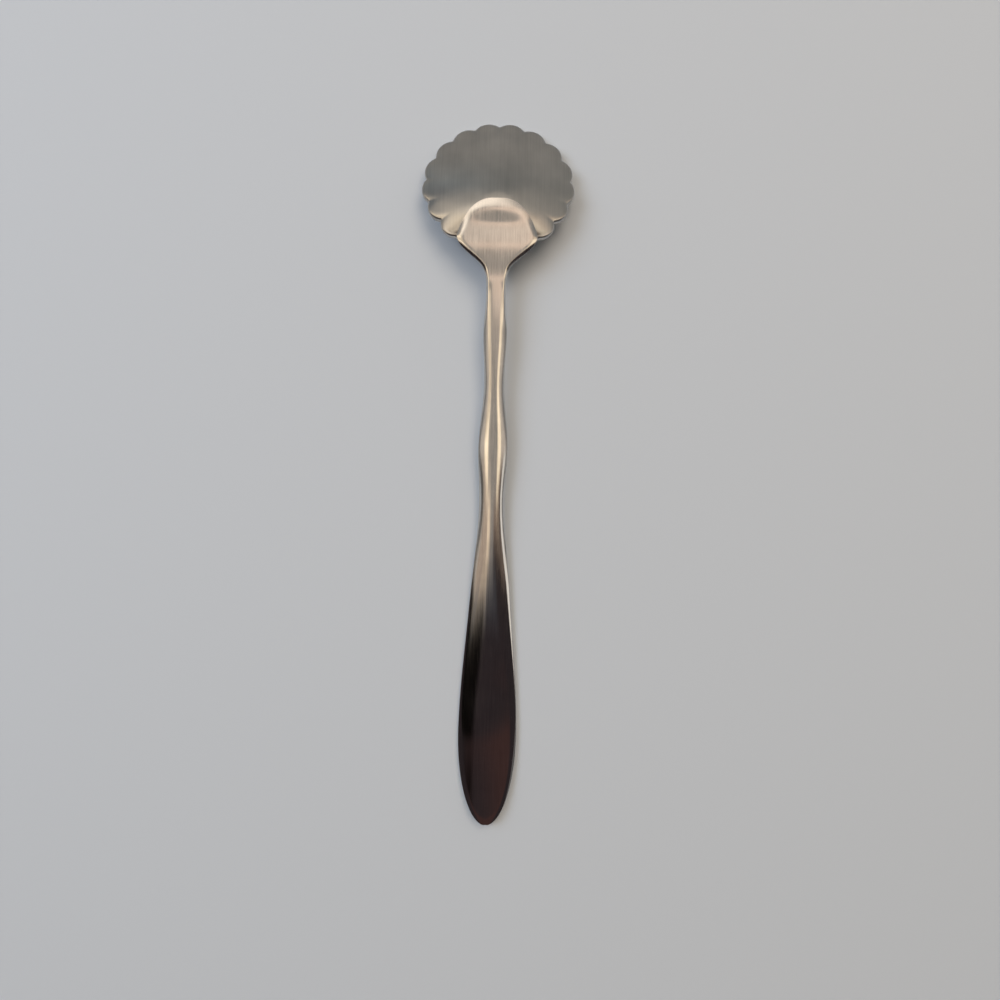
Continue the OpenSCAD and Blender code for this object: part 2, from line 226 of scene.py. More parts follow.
@dataclass
class ScallopedBowl:
    """The bowl: a scalloped sheet, pressed to a shallow dish, whose rim falls towards the tip."""

    tip_y: float
    width: float = 27.4
    depth: float = 2.7
    sheet: float = 0.9
    tilt: float = math.radians(11.5)
    crown_offset: float = -0.8
    fullness: float = 2.0
    lobes_per_turn: int = 18
    lobes_each_side: int = 7
    lobe_rise: float = 1.0
    lobe_steps: int = 12
    rim_draw_in: float = 1.7
    draw_in_from: float = math.radians(80)
    draw_in_to: float = math.radians(130)
    lobe_swell: float = 0.22
    swell_from: float = 0.8
    rim_round: float = 0.4
    rim_segments: int = 3
    heel_margin: float = 0.3
    heel_steps: int = 10
    grid_lobes: int = 3
    weld: float = 0.01
    upright_below: float = 0.5
    seat_tries: int = 5
    corner_sharpness: float = 9.0
    rings: tuple[float, ...] = (0.955, 0.915, 0.87, 0.81, 0.74, 0.66, 0.57, 0.47, 0.36, 0.25)
    round_from: float = 0.8
    rounding: float = 0.5

    def __post_init__(self) -> None:
        """Works out the rim and the bowl's place on the table."""
        self.pitch = 2 * math.pi / self.lobes_per_turn
        self.notch_radius = (self.width / 2 - self.lobe_rise) / math.cos(self.pitch / 2)
        self.root = self.notch(self.lobes_each_side)
        self.heel_v = self.root.y - self.heel_margin
        self.heel_half = self.root.x - self.heel_margin
        self.heel_reach = self.crown_offset - self.heel_v
        centre, radius = self.lobe_circle(1)
        self.rim_top = centre.y + radius
        self.place_y = self.tip_y - self.rim_top * math.cos(self.tilt) - self.sheet * math.sin(self.tilt) / 2
        self.drop = 0.0
        self.drop = self.lowest_place()

    def lowest_place(self) -> float:
        """Finds the height of the lowest place of the lobe beside the tip, inside its rounded edge."""
        crown = Vector((0, self.crown_offset, 0))
        centre, radius = self.lobe_circle(1)
        inset = 1 - self.rim_round / (self.width / 2)
        heights = []
        for step in range(self.lobe_steps + 1):
            angle = self.pitch * step / self.lobe_steps
            edge = crown + (centre + radius * Vector((math.sin(angle), math.cos(angle), 0)) - crown) * inset
            raised = self.floor_height(edge.x, edge.y) + self.swell(edge.x, edge.y)
            heights.append(self.height_at(edge.y, raised))
        return min(heights)

    def draw_in(self, angle: float) -> float:
        """Gives how far the rim is drawn in at an angle from the tip."""
        eased = smooth_curve([Knot(self.draw_in_from, 0), Knot(self.draw_in_to, 1)], abs(angle))
        return self.rim_draw_in * eased

    def notch(self, number: int) -> Vector:
        """Gives the place of a notch in the rim's plane, counted from the one at the tip."""
        angle = number * self.pitch
        reach = self.notch_radius - self.draw_in(angle)
        return Vector((reach * math.sin(angle), reach * math.cos(angle), 0))

    def lobe_circle(self, number: int) -> tuple[Vector, float]:
        """Finds the circle that a lobe is an arc of.

        Args:
            number: The notch at the lobe's end that is further from the tip, on the right.

        Returns:
            The circle's centre in the rim's plane, and its radius.
        """
        a, b = self.notch(number), self.notch(number - 1)
        half = (b - a).length / 2
        radius = (half * half + self.lobe_rise ** 2) / (2 * self.lobe_rise)
        along = (b - a).normalized()
        outward = Vector((along.y, -along.x, 0))
        return (a + b) / 2 + outward * (self.lobe_rise - radius), radius

    def dish_share(self, u: float, v: float) -> float:
        """Gives the share of the way from the crown to the rim.

        Args:
            u: Place across the bowl.
            v: Place along the bowl, towards the tip.

        Returns:
            0 at the crown and 1 on the line round the lobes' tops and at the heel edge.
        """
        w = Vector((u, v - self.crown_offset))
        lean = self.crown_offset * w.y
        reach = self.width / 2 - self.draw_in(math.atan2(u, v))
        room = reach * reach - self.crown_offset ** 2
        lobes = (lean + math.sqrt(lean * lean + room * w.length_squared)) / room
        heel = max(0.0, -w.y / self.heel_reach)
        return (lobes ** self.corner_sharpness + heel ** self.corner_sharpness) ** (1 / self.corner_sharpness)

    def floor_height(self, u: float, v: float) -> float:
        """Gives the height of the dish's floor over the rim's plane."""
        return self.depth * max(0.0, 1 - self.dish_share(u, v) ** self.fullness)

    def back_height(self, u: float, v: float) -> float:
        """Gives the height of the dish's back over the rim's plane."""
        share = min(1.0, self.dish_share(u, v))
        slope = self.depth * self.fullness * share ** (self.fullness - 1) / self.heel_reach
        return self.floor_height(u, v) + self.sheet * math.hypot(1, slope)

    def swell(self, u: float, v: float) -> float:
        """Gives how far a lobe swells, from nothing in its notches to its top."""
        angle = math.atan2(u, v)
        phase = abs(angle) / self.pitch
        if phase > self.lobes_each_side:
            return 0.0
        bulge = math.sin(math.pi * (phase % 1.0))
        rim = self.notch_radius - self.draw_in(angle) + self.lobe_rise * bulge
        near = smooth_curve([Knot(self.swell_from, 0), Knot(1, 1)], math.hypot(u, v) / rim)
        return self.lobe_swell * bulge * near

    def place(self, u: float, v: float, n: float) -> Point:
        """Gives the place on the table's axes of a point in the rim's plane, raised by n."""
        y = self.place_y + v * math.cos(self.tilt) + n * math.sin(self.tilt)
        return (u, y, self.height_at(v, n))

    def height_at(self, v: float, n: float) -> float:
        """Gives the height over the table of a point in the rim's plane, raised by n."""
        return (self.rim_top - v) * math.sin(self.tilt) + n * math.cos(self.tilt) - self.drop

    def back_at(self, x: float, y: float) -> float:
        """Finds the height over the table of the bowl's back, seen from above.

        Args:
            x: Place across the spoon.
            y: Place along the spoon.

        Returns:
            The height over the table.
        """
        n = self.depth
        v = 0.0
        for _ in range(self.seat_tries):
            v = (y - self.place_y - n * math.sin(self.tilt)) / math.cos(self.tilt)
            n = self.back_height(x, v)
        return self.height_at(v, n)

    def trace_rim(self) -> None:
        """Traces the rim in edit mode: a vertex is spun along each lobe, then drawn along the heel edge."""
        bpy.ops.mesh.primitive_plane_add(size=1, location=self.root)
        bpy.ops.object.transform_apply(location=True)
        bpy.ops.object.mode_set(mode="EDIT")
        bpy.ops.mesh.merge(type="CENTER")
        for number in range(self.lobes_each_side, -self.lobes_each_side, -1):
            centre, radius = self.lobe_circle(number)
            chord = self.notch(number - 1) - self.notch(number)
            turn = 2 * math.asin(chord.length / 2 / radius)
            bpy.ops.mesh.spin(steps=self.lobe_steps, angle=-turn, center=centre, axis=(0, 0, 1))
        step = (2 * self.heel_half / self.heel_steps, 0, 0)
        moves = [(self.heel_margin, -self.heel_margin, 0)]
        moves += [step] * self.heel_steps
        moves += [(self.heel_margin, self.heel_margin, 0)]
        for move in moves:
            bpy.ops.mesh.extrude_vertices_move(TRANSFORM_OT_translate={"value": move})
        bpy.ops.mesh.select_all(action="SELECT")
        bpy.ops.mesh.remove_doubles(threshold=self.weld)

    def draw_rings(self) -> None:
        """Fills the rim with rings that shrink to the crown, and a grid in the middle."""
        crown = (0, self.crown_offset, 0)
        before = 1.0
        for share in self.rings:
            bpy.ops.mesh.extrude_region_move()
            shrink = share / before
            bpy.ops.transform.resize(value=(shrink, shrink, 1), center_override=crown)
            if share < self.round_from:
                bpy.ops.transform.tosphere(value=self.rounding)
            before = share
        bpy.ops.mesh.fill_grid(span=self.heel_steps + self.lobe_steps * self.grid_lobes)

    def press(self, piece: bpy.types.Object) -> None:
        """Thickens the flat sheet, then presses it to the dish in one stroke as a die does.

        Args:
            piece: The bowl, in edit mode.
        """
        bpy.ops.mesh.select_all(action="SELECT")
        bpy.ops.mesh.extrude_region_move(TRANSFORM_OT_translate={"value": (0, 0, self.sheet)})
        sheet = bmesh.from_edit_mesh(piece.data)
        for vert in sheet.verts:
            u, v = vert.co.x, vert.co.y
            dish = self.back_height(u, v) if vert.co.z > 0 else self.floor_height(u, v)
            vert.co.z = dish + self.swell(u, v)
        bmesh.update_edit_mesh(piece.data)
        bpy.ops.mesh.select_all(action="SELECT")
        bpy.ops.mesh.normals_make_consistent(inside=False)

    def round_rim(self, piece: bpy.types.Object) -> None:
        """Rounds the two corners of the sheet's edge.

        Args:
            piece: The bowl, in edit mode.
        """
        bpy.ops.mesh.select_mode(type="EDGE")
        bpy.ops.mesh.select_all(action="DESELECT")
        sheet = bmesh.from_edit_mesh(piece.data)
        for edge in sheet.edges:
            upright = [abs(face.normal.z) < self.upright_below for face in edge.link_faces]
            edge.select_set(any(upright) and not all(upright))
        sheet.select_flush_mode()
        bmesh.update_edit_mesh(piece.data)
        bpy.ops.mesh.bevel(
            offset=self.rim_round, segments=self.rim_segments, affect="EDGES", clamp_overlap=True)

    def build(self, material: bpy.types.Material) -> bpy.types.Object:
        """Models the bowl and puts it in its place.

        Args:
            material: The bowl's finish.

        Returns:
            The finished piece.
        """
        bpy.ops.object.select_all(action="DESELECT")
        self.trace_rim()
        piece = new_piece("scalloped_bowl")
        self.draw_rings()
        self.press(piece)
        self.round_rim(piece)
        bpy.ops.object.mode_set(mode="OBJECT")
        apply_modifier(piece, "SUBSURF", levels=1, render_levels=1)
        bpy.ops.object.shade_smooth()
        piece.rotation_euler.x = -self.tilt
        piece.location = self.place(0, 0, 0)
        bpy.ops.object.transform_apply(location=True, rotation=True)
        for vert in piece.data.vertices:
            vert.co.z = max(0.0, vert.co.z)
        piece.scale = (MM, MM, MM)
        bpy.ops.object.transform_apply(scale=True)
        finish_piece(piece, material, Node.BOWL)
        return piece


@dataclass
class ForgedHandle:
    """The handle: leaf-shaped end, waved stem with a facet, flare, and the tongue on the bowl's back."""

    bowl: ScallopedBowl
    point_y: float
    braze_gap: float = 0.1
    tongue_inset: float = 0.2
    tongue_length: float = 6.3
    tongue_thickness: float = 0.65
    tongue_feather: float = 0.03
    tongue_blend: float = 0.2
    tongue_edge_round: float = 0.2
    tongue_edge_width: float = 1.1
    tongue_end_fullness: float = 1.16
    tongue_end_breadth: float = 2.8
    tongue_slope: float = 0.05
    flare_rise: float = 0.6
    flare_slope: float = 0.05
    flare_start: float = 0.43
    flare_start_gain: float = 0.11
    flare_start_slope: float = 0.85
    flare_end: float = 0.78
    flare_end_gain: float = 0.79
    flare_end_slope: float = 1.85
    plate_at: float = 0.4
    arch_band: float = 1.5
    arch_rise: float = 0.16
    arch_run: float = 2.5
    arch_half: float = 4.3
    margin: float = 1.3
    margin_slope: float = 0.05
    neck_width: float = 3.4
    neck_at: float = 9.0
    first_swell_width: float = 4.1
    first_swell_at: float = 15.5
    stem_waist_width: float = 3.5
    stem_waist_at: float = 24.2
    second_swell_width: float = 5.15
    second_swell_at: float = 36.1
    waist_width: float = 4.5
    waist_at: float = 45.1
    taper_at: float = 0.42
    taper_gain: float = 0.46
    taper_slope: float = 1.12
    stem_thickness: float = 2.0
    facet_width: float = 1.5
    swell_facet_width: float = 1.8
    waist_facet: float = 0.75
    facet_runout: float = 2.2
    facet_limit: float = 0.9
    least_crease: float = 0.2
    bevel_fall: float = 0.3
    neck_bevel_fall: float = 0.15
    crease_softness: float = 0.2
    width: float = 10.4
    thickness: float = 1.55
    leaf_length: float = 15.5
    leaf_fullness: float = 1.95
    leaf_bluntness: float = 0.5
    land_length: float = 11.0
    land_setback: float = 1.0
    land_slope: float = 0.02
    front_rise: float = 0.06
    point_lift: float = 1.0
    point_thickness: float = 1.0
    edge_width: float = 0.9
    neck_edge_width: float = 0.45
    crown: float = 0.5
    back_round: float = 0.25
    leaf_round: float = 0.14
    front_round: float = 0.22
    edge_power: float = 2.3
    step_run: float = 0.02
    end_cut: float = 0.012
    undercut: float = 0.25
    flare_undercut: float = 0.5
    wall_hold: float = 0.12
    facet_points: int = 5
    side_points: int = 16
    leaf_stations: int = 16
    land_stations: int = 8
    taper_stations: int = 20
    stem_stations: int = 44
    flare_stations: int = 24
    heel_stations: int = 3
    tongue_stations: int = 20

    def __post_init__(self) -> None:
        """Works out the places along the handle and the curves through them."""
        bowl = self.bowl
        self.heel_y = bowl.place(0, bowl.heel_v, 0)[1] - self.braze_gap
        self.neck_y = self.heel_y - self.neck_at
        self.shoulder_y = bowl.place(bowl.root.x, bowl.root.y, bowl.sheet)[1]
        self.arch_y = self.shoulder_y + self.tongue_length
        self.waist_y = self.heel_y - self.waist_at
        self.leaf_y = self.point_y + self.leaf_length
        self.land_start = self.leaf_y - self.land_setback
        self.land_end = self.land_start + self.land_length
        self.tongue_half = bowl.root.x - self.tongue_inset
        self.leaf = RoundedEnd(
            self.leaf_y, -self.leaf_length, self.width / 2, 1 / self.leaf_bluntness, self.leaf_fullness)
        self.tongue = RoundedEnd(
            self.shoulder_y, self.tongue_length, self.tongue_half, self.tongue_end_breadth,
            self.tongue_end_fullness)
        self.plan = self.plan_knots()
        self.back = self.back_knots()
        self.front = self.front_knots()
        self.facet_widths = [
            Knot(self.heel_y - self.second_swell_at, self.swell_facet_width),
            Knot(self.heel_y - self.stem_waist_at, self.facet_width * self.waist_facet),
            Knot(self.heel_y - self.first_swell_at, self.facet_width),
        ]
        self.facet_edges = [
            Knot(self.leaf_y, 0),
            Knot(self.waist_y, 1),
            Knot(self.heel_y - self.first_swell_at, 1),
            Knot(self.neck_y, 0),
        ]
        self.edge_widths = [
            Knot(self.waist_y, self.edge_width),
            Knot(self.neck_y, self.neck_edge_width),
            Knot(self.heel_y, self.tongue_edge_width),
        ]
        self.roundings = [Knot(self.leaf_y, self.leaf_round), Knot(self.waist_y, self.back_round)]
        self.crowning = [
            Knot(self.land_end, self.crown),
            Knot(self.waist_y, self.crown / 2),
            Knot(self.neck_y, 0),
        ]
        self.undercuts = [
            Knot(self.leaf_y, 0),
            Knot(self.waist_y, self.undercut),
            Knot(self.neck_y, self.undercut),
            Knot(self.heel_y - self.tongue_blend, self.flare_undercut),
            Knot(self.heel_y, 0),
        ]
        self.bevels = [
            Knot(self.leaf_y, 0),
            Knot(self.waist_y, self.bevel_fall),
            Knot(self.heel_y - self.first_swell_at, self.bevel_fall),
            Knot(self.neck_y, self.neck_bevel_fall),
            Knot(self.neck_y + self.facet_runout, 0),
        ]

    def plan_knots(self) -> list[Knot]:
        """Gives the half widths along the handle, from the leaf-shaped end to the tongue's shoulders."""
        gain = self.tongue_half - self.neck_width / 2
        run = self.shoulder_y - self.neck_y
        taper = (self.width - self.waist_width) / 2
        taper_run = self.waist_y - self.leaf_y
        taper_half = self.waist_width / 2 + self.taper_gain * taper
        start_half = self.neck_width / 2 + self.flare_start_gain * gain
        end_half = self.neck_width / 2 + self.flare_end_gain * gain
        return [
            Knot(self.leaf_y, self.width / 2),
            Knot(self.waist_y - self.taper_at * taper_run, taper_half, -self.taper_slope * taper / taper_run),
            Knot(self.waist_y, self.waist_width / 2),
            Knot(self.heel_y - self.second_swell_at, self.second_swell_width / 2),
            Knot(self.heel_y - self.stem_waist_at, self.stem_waist_width / 2),
            Knot(self.heel_y - self.first_swell_at, self.first_swell_width / 2),
            Knot(self.neck_y, self.neck_width / 2),
            Knot(self.neck_y + self.flare_start * run, start_half, self.flare_start_slope * gain / run),
            Knot(self.neck_y + self.flare_end * run, end_half, self.flare_end_slope * gain / run),
            Knot(self.shoulder_y, self.tongue_half),
        ]

    def back_knots(self) -> list[Knot]:
        """Gives the heights of the back along the middle."""
        bowl = self.bowl
        heel_top = bowl.back_at(0, self.heel_y + self.braze_gap) + self.braze_gap + self.tongue_thickness
        arch_top = heel_top + self.tongue_slope * (self.arch_y - self.heel_y + self.plate_at)
        point_top = self.point_lift + self.point_thickness
        return [
            Knot(self.point_y, point_top, -2 * (point_top - self.thickness) / self.leaf_length),
            Knot(self.land_start, self.thickness),
            Knot(self.land_end, self.thickness, self.land_slope),
            Knot(self.neck_y + self.facet_runout, heel_top - self.flare_rise, self.flare_slope),
            Knot(self.heel_y - self.plate_at, heel_top, self.tongue_slope),
            Knot(self.arch_y, arch_top, self.tongue_slope),
        ]

    def front_knots(self) -> list[Knot]:
        """Gives the heights of the front along the middle, up to the shoulder that the heel edge butts."""
        bowl = self.bowl
        waist_front = smooth_curve(self.back, self.waist_y) - self.stem_thickness
        neck_front = smooth_curve(self.back, self.neck_y) - self.stem_thickness
        return [
            Knot(self.point_y, self.point_lift, -2 * self.point_lift / self.leaf_length),
            Knot(self.land_start, 0),
            Knot(self.land_end, 0),
            Knot(self.waist_y, waist_front, self.front_rise),
            Knot(self.neck_y, neck_front, self.land_slope),
            Knot(self.heel_y, bowl.height_at(bowl.heel_v, 0)),
        ]

    def half_width(self, y: float) -> float:
        """Gives half the handle's width at a place along it."""
        if y < self.leaf_y:
            return self.leaf.half_width(y)
        if y > self.shoulder_y:
            return self.tongue.half_width(y)
        return smooth_curve(self.plan, y)

    def facet_share(self, y: float) -> float:
        """Gives the share of the half width inside the stem's facet, which ends in a round nose."""
        nose = min(1.0, max(0.0, (y - self.neck_y) / self.facet_runout))
        width = smooth_curve(self.facet_widths, y) * math.sqrt(1 - nose * nose)
        return min(self.facet_limit, width / 2 / self.half_width(y))

    def side_share(self, share: float, y: float) -> float:
        """Gives the share of the way from the facet's edge to the outline, which is below 0 on the facet."""
        facet = self.facet_share(y)
        return (abs(share) - facet) / (1 - facet)

    def edge_distance(self, share: float, y: float) -> float:
        """Gives the distance to the outline in plan.

        Args:
            share: Place across the section, from -1 to 1.
            y: Place along the handle.

        Returns:
            The distance in millimetres, true near the edge.
        """
        wide = self.half_width(y)
        if y < self.leaf_y:
            return self.leaf.edge_distance(share * wide, y)
        if y > self.shoulder_y:
            return self.tongue.edge_distance(share * wide, y)
        return (1 - abs(share)) * wide

    def edge_fall(self, share: float, y: float) -> float:
        """Gives how far the rounded edge has fallen.

        Args:
            share: Place across the section, from -1 to 1.
            y: Place along the handle.

        Returns:
            0 on the flat or the facet, and up to 1 at the outline.
        """
        plain = 1 - self.edge_distance(share, y) / smooth_curve(self.edge_widths, y)
        stem = smooth_curve(self.facet_edges, y)
        past = plain * (1 - stem) + self.side_share(share, y) * stem
        return min(1.0, max(0.0, past)) ** self.edge_power

    def bevel(self, share: float, y: float) -> float:
        """Gives how far the back falls beside the stem's facet."""
        return smooth_curve(self.bevels, y) * smooth_max(0, self.side_share(share, y), self.crease_softness)

    def crown_fall(self, share: float, y: float) -> float:
        """Gives how far the crowned back falls from its middle, which is less where the end closes."""
        closing = self.half_width(y) / (self.width / 2) if y < self.leaf_y else 1.0
        return smooth_curve(self.crowning, y) * (share * closing) ** 2

    def tongue_relief(self, share: float, y: float) -> float:
        """Gives how far the tongue's face rises in a soft step to the arch, and falls at both legs.

        Args:
            share: Place across the section, from -1 to 1.
            y: Place along the handle.

        Returns:
            The rise in millimetres, below 0 where the face falls.
        """
        middle = max(0.0, 1 - (share * self.half_width(y) / self.arch_half) ** 2) ** 2
        foot = self.arch_y - self.arch_band
        step = smooth_curve([Knot(foot - self.arch_run, 0), Knot(foot, self.arch_rise)], y)
        margin = self.margin_slope * max(0.0, self.margin - self.edge_distance(share, y))
        return step * middle - margin * (1 - middle) * self.flare_share(y)

    def flare_share(self, y: float) -> float:
        """Gives how far the section has changed from the stem's to the tongue's, 0 to 1."""
        return smooth_curve([Knot(self.neck_y, 0), Knot(self.heel_y, 1)], y)

    def back_height(self, share: float, y: float) -> float:
        """Gives the height of the back.

        Args:
            share: Place across the section, from -1 to 1.
            y: Place along the handle.

        Returns:
            The height over the table.
        """
        middle = smooth_curve(self.back, y)
        flare = self.flare_share(y)
        stem_round = smooth_curve(self.roundings, y) * (middle - smooth_curve(self.front, y))
        fading = smooth_curve([Knot(self.shoulder_y, 1), Knot(self.arch_y, 0)], y)
        rounding = stem_round * (1 - flare) + self.tongue_edge_round * fading * flare
        top = middle - self.crown_fall(share, y) - self.bevel(share, y) - rounding * self.edge_fall(share, y)
        top += self.tongue_relief(share, y)
        if y < self.heel_y + self.step_run:
            return top
        seat = self.bowl.back_at(share * self.half_width(y), y) + self.braze_gap + self.tongue_feather
        foot = Knot(self.arch_y - self.arch_band, self.tongue_blend)
        return smooth_max(top, seat, smooth_curve([Knot(self.heel_y, 0), foot], y))

    def front_height(self, share: float, y: float) -> float:
        """Gives the height of the front, which on the tongue follows the bowl's back.

        Args:
            share: Place across the section, from -1 to 1.
            y: Place along the handle.

        Returns:
            The height over the table.
        """
        if y >= self.heel_y + self.step_run:
            return self.bowl.back_at(share * self.half_width(y), y) + self.braze_gap
        middle = smooth_curve(self.front, y)
        rounding = self.front_round * (smooth_curve(self.back, y) - middle) * (1 - self.flare_share(y))
        return middle + rounding * self.edge_fall(share, y)

    def section(self, y: float) -> list[Point]:
        """Gives the points of one section: over the back, down a wall, back along the front, up a wall.

        Args:
            y: Place along the handle.

        Returns:
            The points in order, as many for every section.
        """
        wide = self.half_width(y)
        facet = max(self.least_crease, self.facet_share(y))
        turns = [math.pi / 2 * k / self.side_points for k in range(1, self.side_points + 1)]
        side = [facet + (1 - facet) * math.sin(turn) for turn in turns]
        flat = [facet * k / self.facet_points for k in range(-self.facet_points, self.facet_points + 1)]
        shares = [-share for share in reversed(side)] + flat + side
        over = [(share * wide, y, self.back_height(share, y)) for share in shares]
        narrow = wide - smooth_curve(self.undercuts, y)
        under = [(share * narrow, y, self.front_height(share, y)) for share in reversed(shares)]
        return over + self.wall(over[-1], under[0]) + under + self.wall(under[-1], over[0])

    def wall(self, start: Point, end: Point) -> list[Point]:
        """Gives two points on a wall, close to its corners, that keep these tight under smoothing."""
        shares = (self.wall_hold, 1 - self.wall_hold)
        return [tuple(a + (b - a) * share for a, b in zip(start, end)) for share in shares]

    def stations(self) -> list[float]:
        """Gives the places of the sections, closer together where the outline turns.

        Returns:
            Places along the handle, from its point to the tongue's end.
        """
        def spread(a: float, b: float, count: int) -> list[float]:
            """Gives evenly spaced places from a, without b."""
            return [a + (b - a) * k / count for k in range(count)]

        def crowd(a: float, b: float, count: int) -> list[float]:
            """Gives places after a that crowd towards b."""
            return [a + (b - a) * math.sin(math.pi / 2 * k / count) for k in range(1, count + 1)]

        places = list(reversed(crowd(self.leaf_y, self.point_y + self.end_cut, self.leaf_stations)))
        places += spread(self.leaf_y, self.land_end, self.land_stations)
        places += spread(self.land_end, self.waist_y, self.taper_stations)
        places += spread(self.waist_y, self.neck_y, self.stem_stations)
        places += spread(self.neck_y, self.heel_y, self.flare_stations)
        places += [self.heel_y]
        places += spread(self.heel_y + self.step_run, self.shoulder_y, self.heel_stations)
        places += [self.shoulder_y]
        return places + crowd(self.shoulder_y, self.arch_y - self.end_cut, self.tongue_stations)

    def draw_out(self, piece: bpy.types.Object) -> None:
        """Draws the handle out from its point: each station extrudes the end face to its section.

        Args:
            piece: The handle in edit mode, a flat face with as many corners as a section.
        """
        for number, y in enumerate(self.stations()):
            if number:
                bpy.ops.mesh.extrude_region_move()
            forging = bmesh.from_edit_mesh(piece.data)
            end = next(face for face in forging.faces if face.select)
            for vert, place in zip(end.verts, self.section(y)):
                vert.co = place
            bmesh.update_edit_mesh(piece.data)
        bpy.ops.mesh.select_all(action="SELECT")
        bpy.ops.mesh.normals_make_consistent(inside=False)

    def build(self, material: bpy.types.Material) -> bpy.types.Object:
        """Models the handle.

        Args:
            material: The handle's finish.

        Returns:
            The finished piece.
        """
        bpy.ops.object.select_all(action="DESELECT")
        around = len(self.section(self.neck_y))
        bpy.ops.mesh.primitive_circle_add(vertices=around, radius=1, fill_type="NGON")
        piece = new_piece("forged_handle")
        bpy.ops.object.mode_set(mode="EDIT")
        bpy.ops.mesh.select_mode(type="FACE")
        bpy.ops.mesh.select_all(action="SELECT")
        self.draw_out(piece)
        bpy.ops.object.mode_set(mode="OBJECT")
        apply_modifier(piece, "SUBSURF", levels=1, render_levels=1)
        bpy.ops.object.shade_smooth()
        piece.scale = (MM, MM, MM)
        bpy.ops.object.transform_apply(scale=True)
        finish_piece(piece, material, Node.HANDLE)
        return piece


@dataclass(frozen=True)
class BrushedSteel:
    """Stainless steel, rubbed along the spoon: fine lines that spread the reflections across the piece."""

    name: str
    pale: str
    dark: str
    roughness: tuple[float, float]
    polish_mm: tuple[float, float]
    spread: float
    stretch: float
    line_mm: float
    run_mm: float
    line_depth_mm: float
    smudge_mm: float
    smudge: float
    line_detail: float = 3.0
    smudge_detail: float = 2.0
    noise_range: tuple[float, float] = (0.25, 0.75)

    def make(self) -> bpy.types.Material:
        """Builds the material.

        Returns:
            The finished material.
        """
        material = bpy.data.materials.new(self.name)
        material.use_nodes = True
        tree = material.node_tree
        tree.nodes.clear()
        place = add_node(tree, "TexCoord")
        scale = (1 / (self.line_mm * MM), 1 / (self.run_mm * MM), 1 / (self.run_mm * MM))
        along = add_node(tree, "Mapping", {"Vector": place.outputs["Object"], "Scale": scale})
        lines = add_node(tree, "TexNoise", {
            "Vector": along.outputs["Vector"], "Scale": 1.0, "Detail": self.line_detail,
        })
        smudges = add_node(tree, "TexNoise", {
            "Vector": place.outputs["Object"], "Scale": 1 / (self.smudge_mm * MM),
            "Detail": self.smudge_detail,
        })
        worn = add_node(tree, "Mix", {0: self.smudge, 2: lines.outputs["Fac"], 3: smudges.outputs["Fac"]})
        tone = add_node(tree, "Mix", {"Factor": worn.outputs[0], 6: linear(self.dark), 7: linear(self.pale)},
                        data_type="RGBA")
        axes = add_node(tree, "SeparateXYZ", {"Vector": place.outputs["Object"]})
        polish = add_node(tree, "MapRange", {
            "Value": axes.outputs["Y"],
            "From Min": self.polish_mm[0] * MM, "From Max": self.polish_mm[1] * MM,
            "To Min": self.roughness[0], "To Max": self.roughness[1],
        })
        uneven = add_node(tree, "MapRange", {
            "Value": lines.outputs["Fac"], "From Min": self.noise_range[0], "From Max": self.noise_range[1],
            "To Min": 1 - self.spread, "To Max": 1 + self.spread,
        })
        rough = add_node(tree, "Math", {0: polish.outputs["Result"], 1: uneven.outputs["Result"]},
                         operation="MULTIPLY")
        bump = add_node(tree, "Bump", {
            "Height": lines.outputs["Fac"], "Distance": self.line_depth_mm * MM, "Strength": 1.0,
        })
        across = add_node(tree, "Tangent", direction_type="UV_MAP", uv_map=BRUSH_MAP)
        steel = add_node(tree, "BsdfPrincipled", {
            "Base Color": tone.outputs[2], "Metallic": 1.0, "Roughness": rough.outputs[0],
            "Anisotropic": self.stretch, "Tangent": across.outputs["Tangent"],
            "Normal": bump.outputs["Normal"],
        })
        add_node(tree, "OutputMaterial", {"Surface": steel.outputs["BSDF"]})
        return material


@dataclass(frozen=True)
class BrazeLayer:
    """The film of braze under the tongue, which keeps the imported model's own mesh."""

    node: Node = Node.BRAZE

    def dress(self, material: bpy.types.Material) -> None:
        """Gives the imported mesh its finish."""
        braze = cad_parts[self.node.value]
        braze.data.materials.clear()
        braze.data.materials.append(material)
        log.info("%s: kept from the packed model", braze.name)


@dataclass(frozen=True)
class LightZone:
    """A soft-edged part of the studio's walls and ceiling, seen from the spoon.

    Angles are in degrees from straight up: along is towards the bowl's tip, across is to the right. Lean
    turns the limits along the spoon, by so many degrees for each degree across.
    """

    along: tuple[float, float]
    across: tuple[float, float]
    soft: float
    colour: str
    strength: float = 1.0
    lean: float = 0.0

    def lay_over(
        self, tree: bpy.types.NodeTree, along: bpy.types.NodeSocket, across: bpy.types.NodeSocket,
        colour: Colour | bpy.types.NodeSocket,
    ) -> bpy.types.NodeSocket:
        """Lays the zone over the colour that the room has so far.

        Args:
            tree: The world's node tree.
            along: The angle along the spoon.
            across: The angle across it.
            colour: The room's colour before this zone.

        Returns:
            The room's colour with the zone.
        """
        leaning = add_node(tree, "Math", {0: across, 1: -self.lean, 2: along}, operation="MULTIPLY_ADD")
        cover = 1.0
        for angle, limits in ((leaning.outputs[0], self.along), (across, self.across)):
            for limit, rising in zip(limits, (1.0, 0.0)):
                edge = add_node(tree, "MapRange", {
                    "Value": angle,
                    "From Min": math.radians(limit - self.soft), "From Max": math.radians(limit + self.soft),
                    "To Min": 1.0 - rising, "To Max": rising,
                }, interpolation_type="SMOOTHSTEP")
                both = add_node(tree, "Math", {0: cover, 1: edge.outputs["Result"]}, operation="MULTIPLY")
                cover = both.outputs[0]
        mixed = add_node(tree, "Mix", {
            "Factor": cover, 6: colour, 7: linear(self.colour, self.strength)}, data_type="RGBA")
        return mixed.outputs[2]


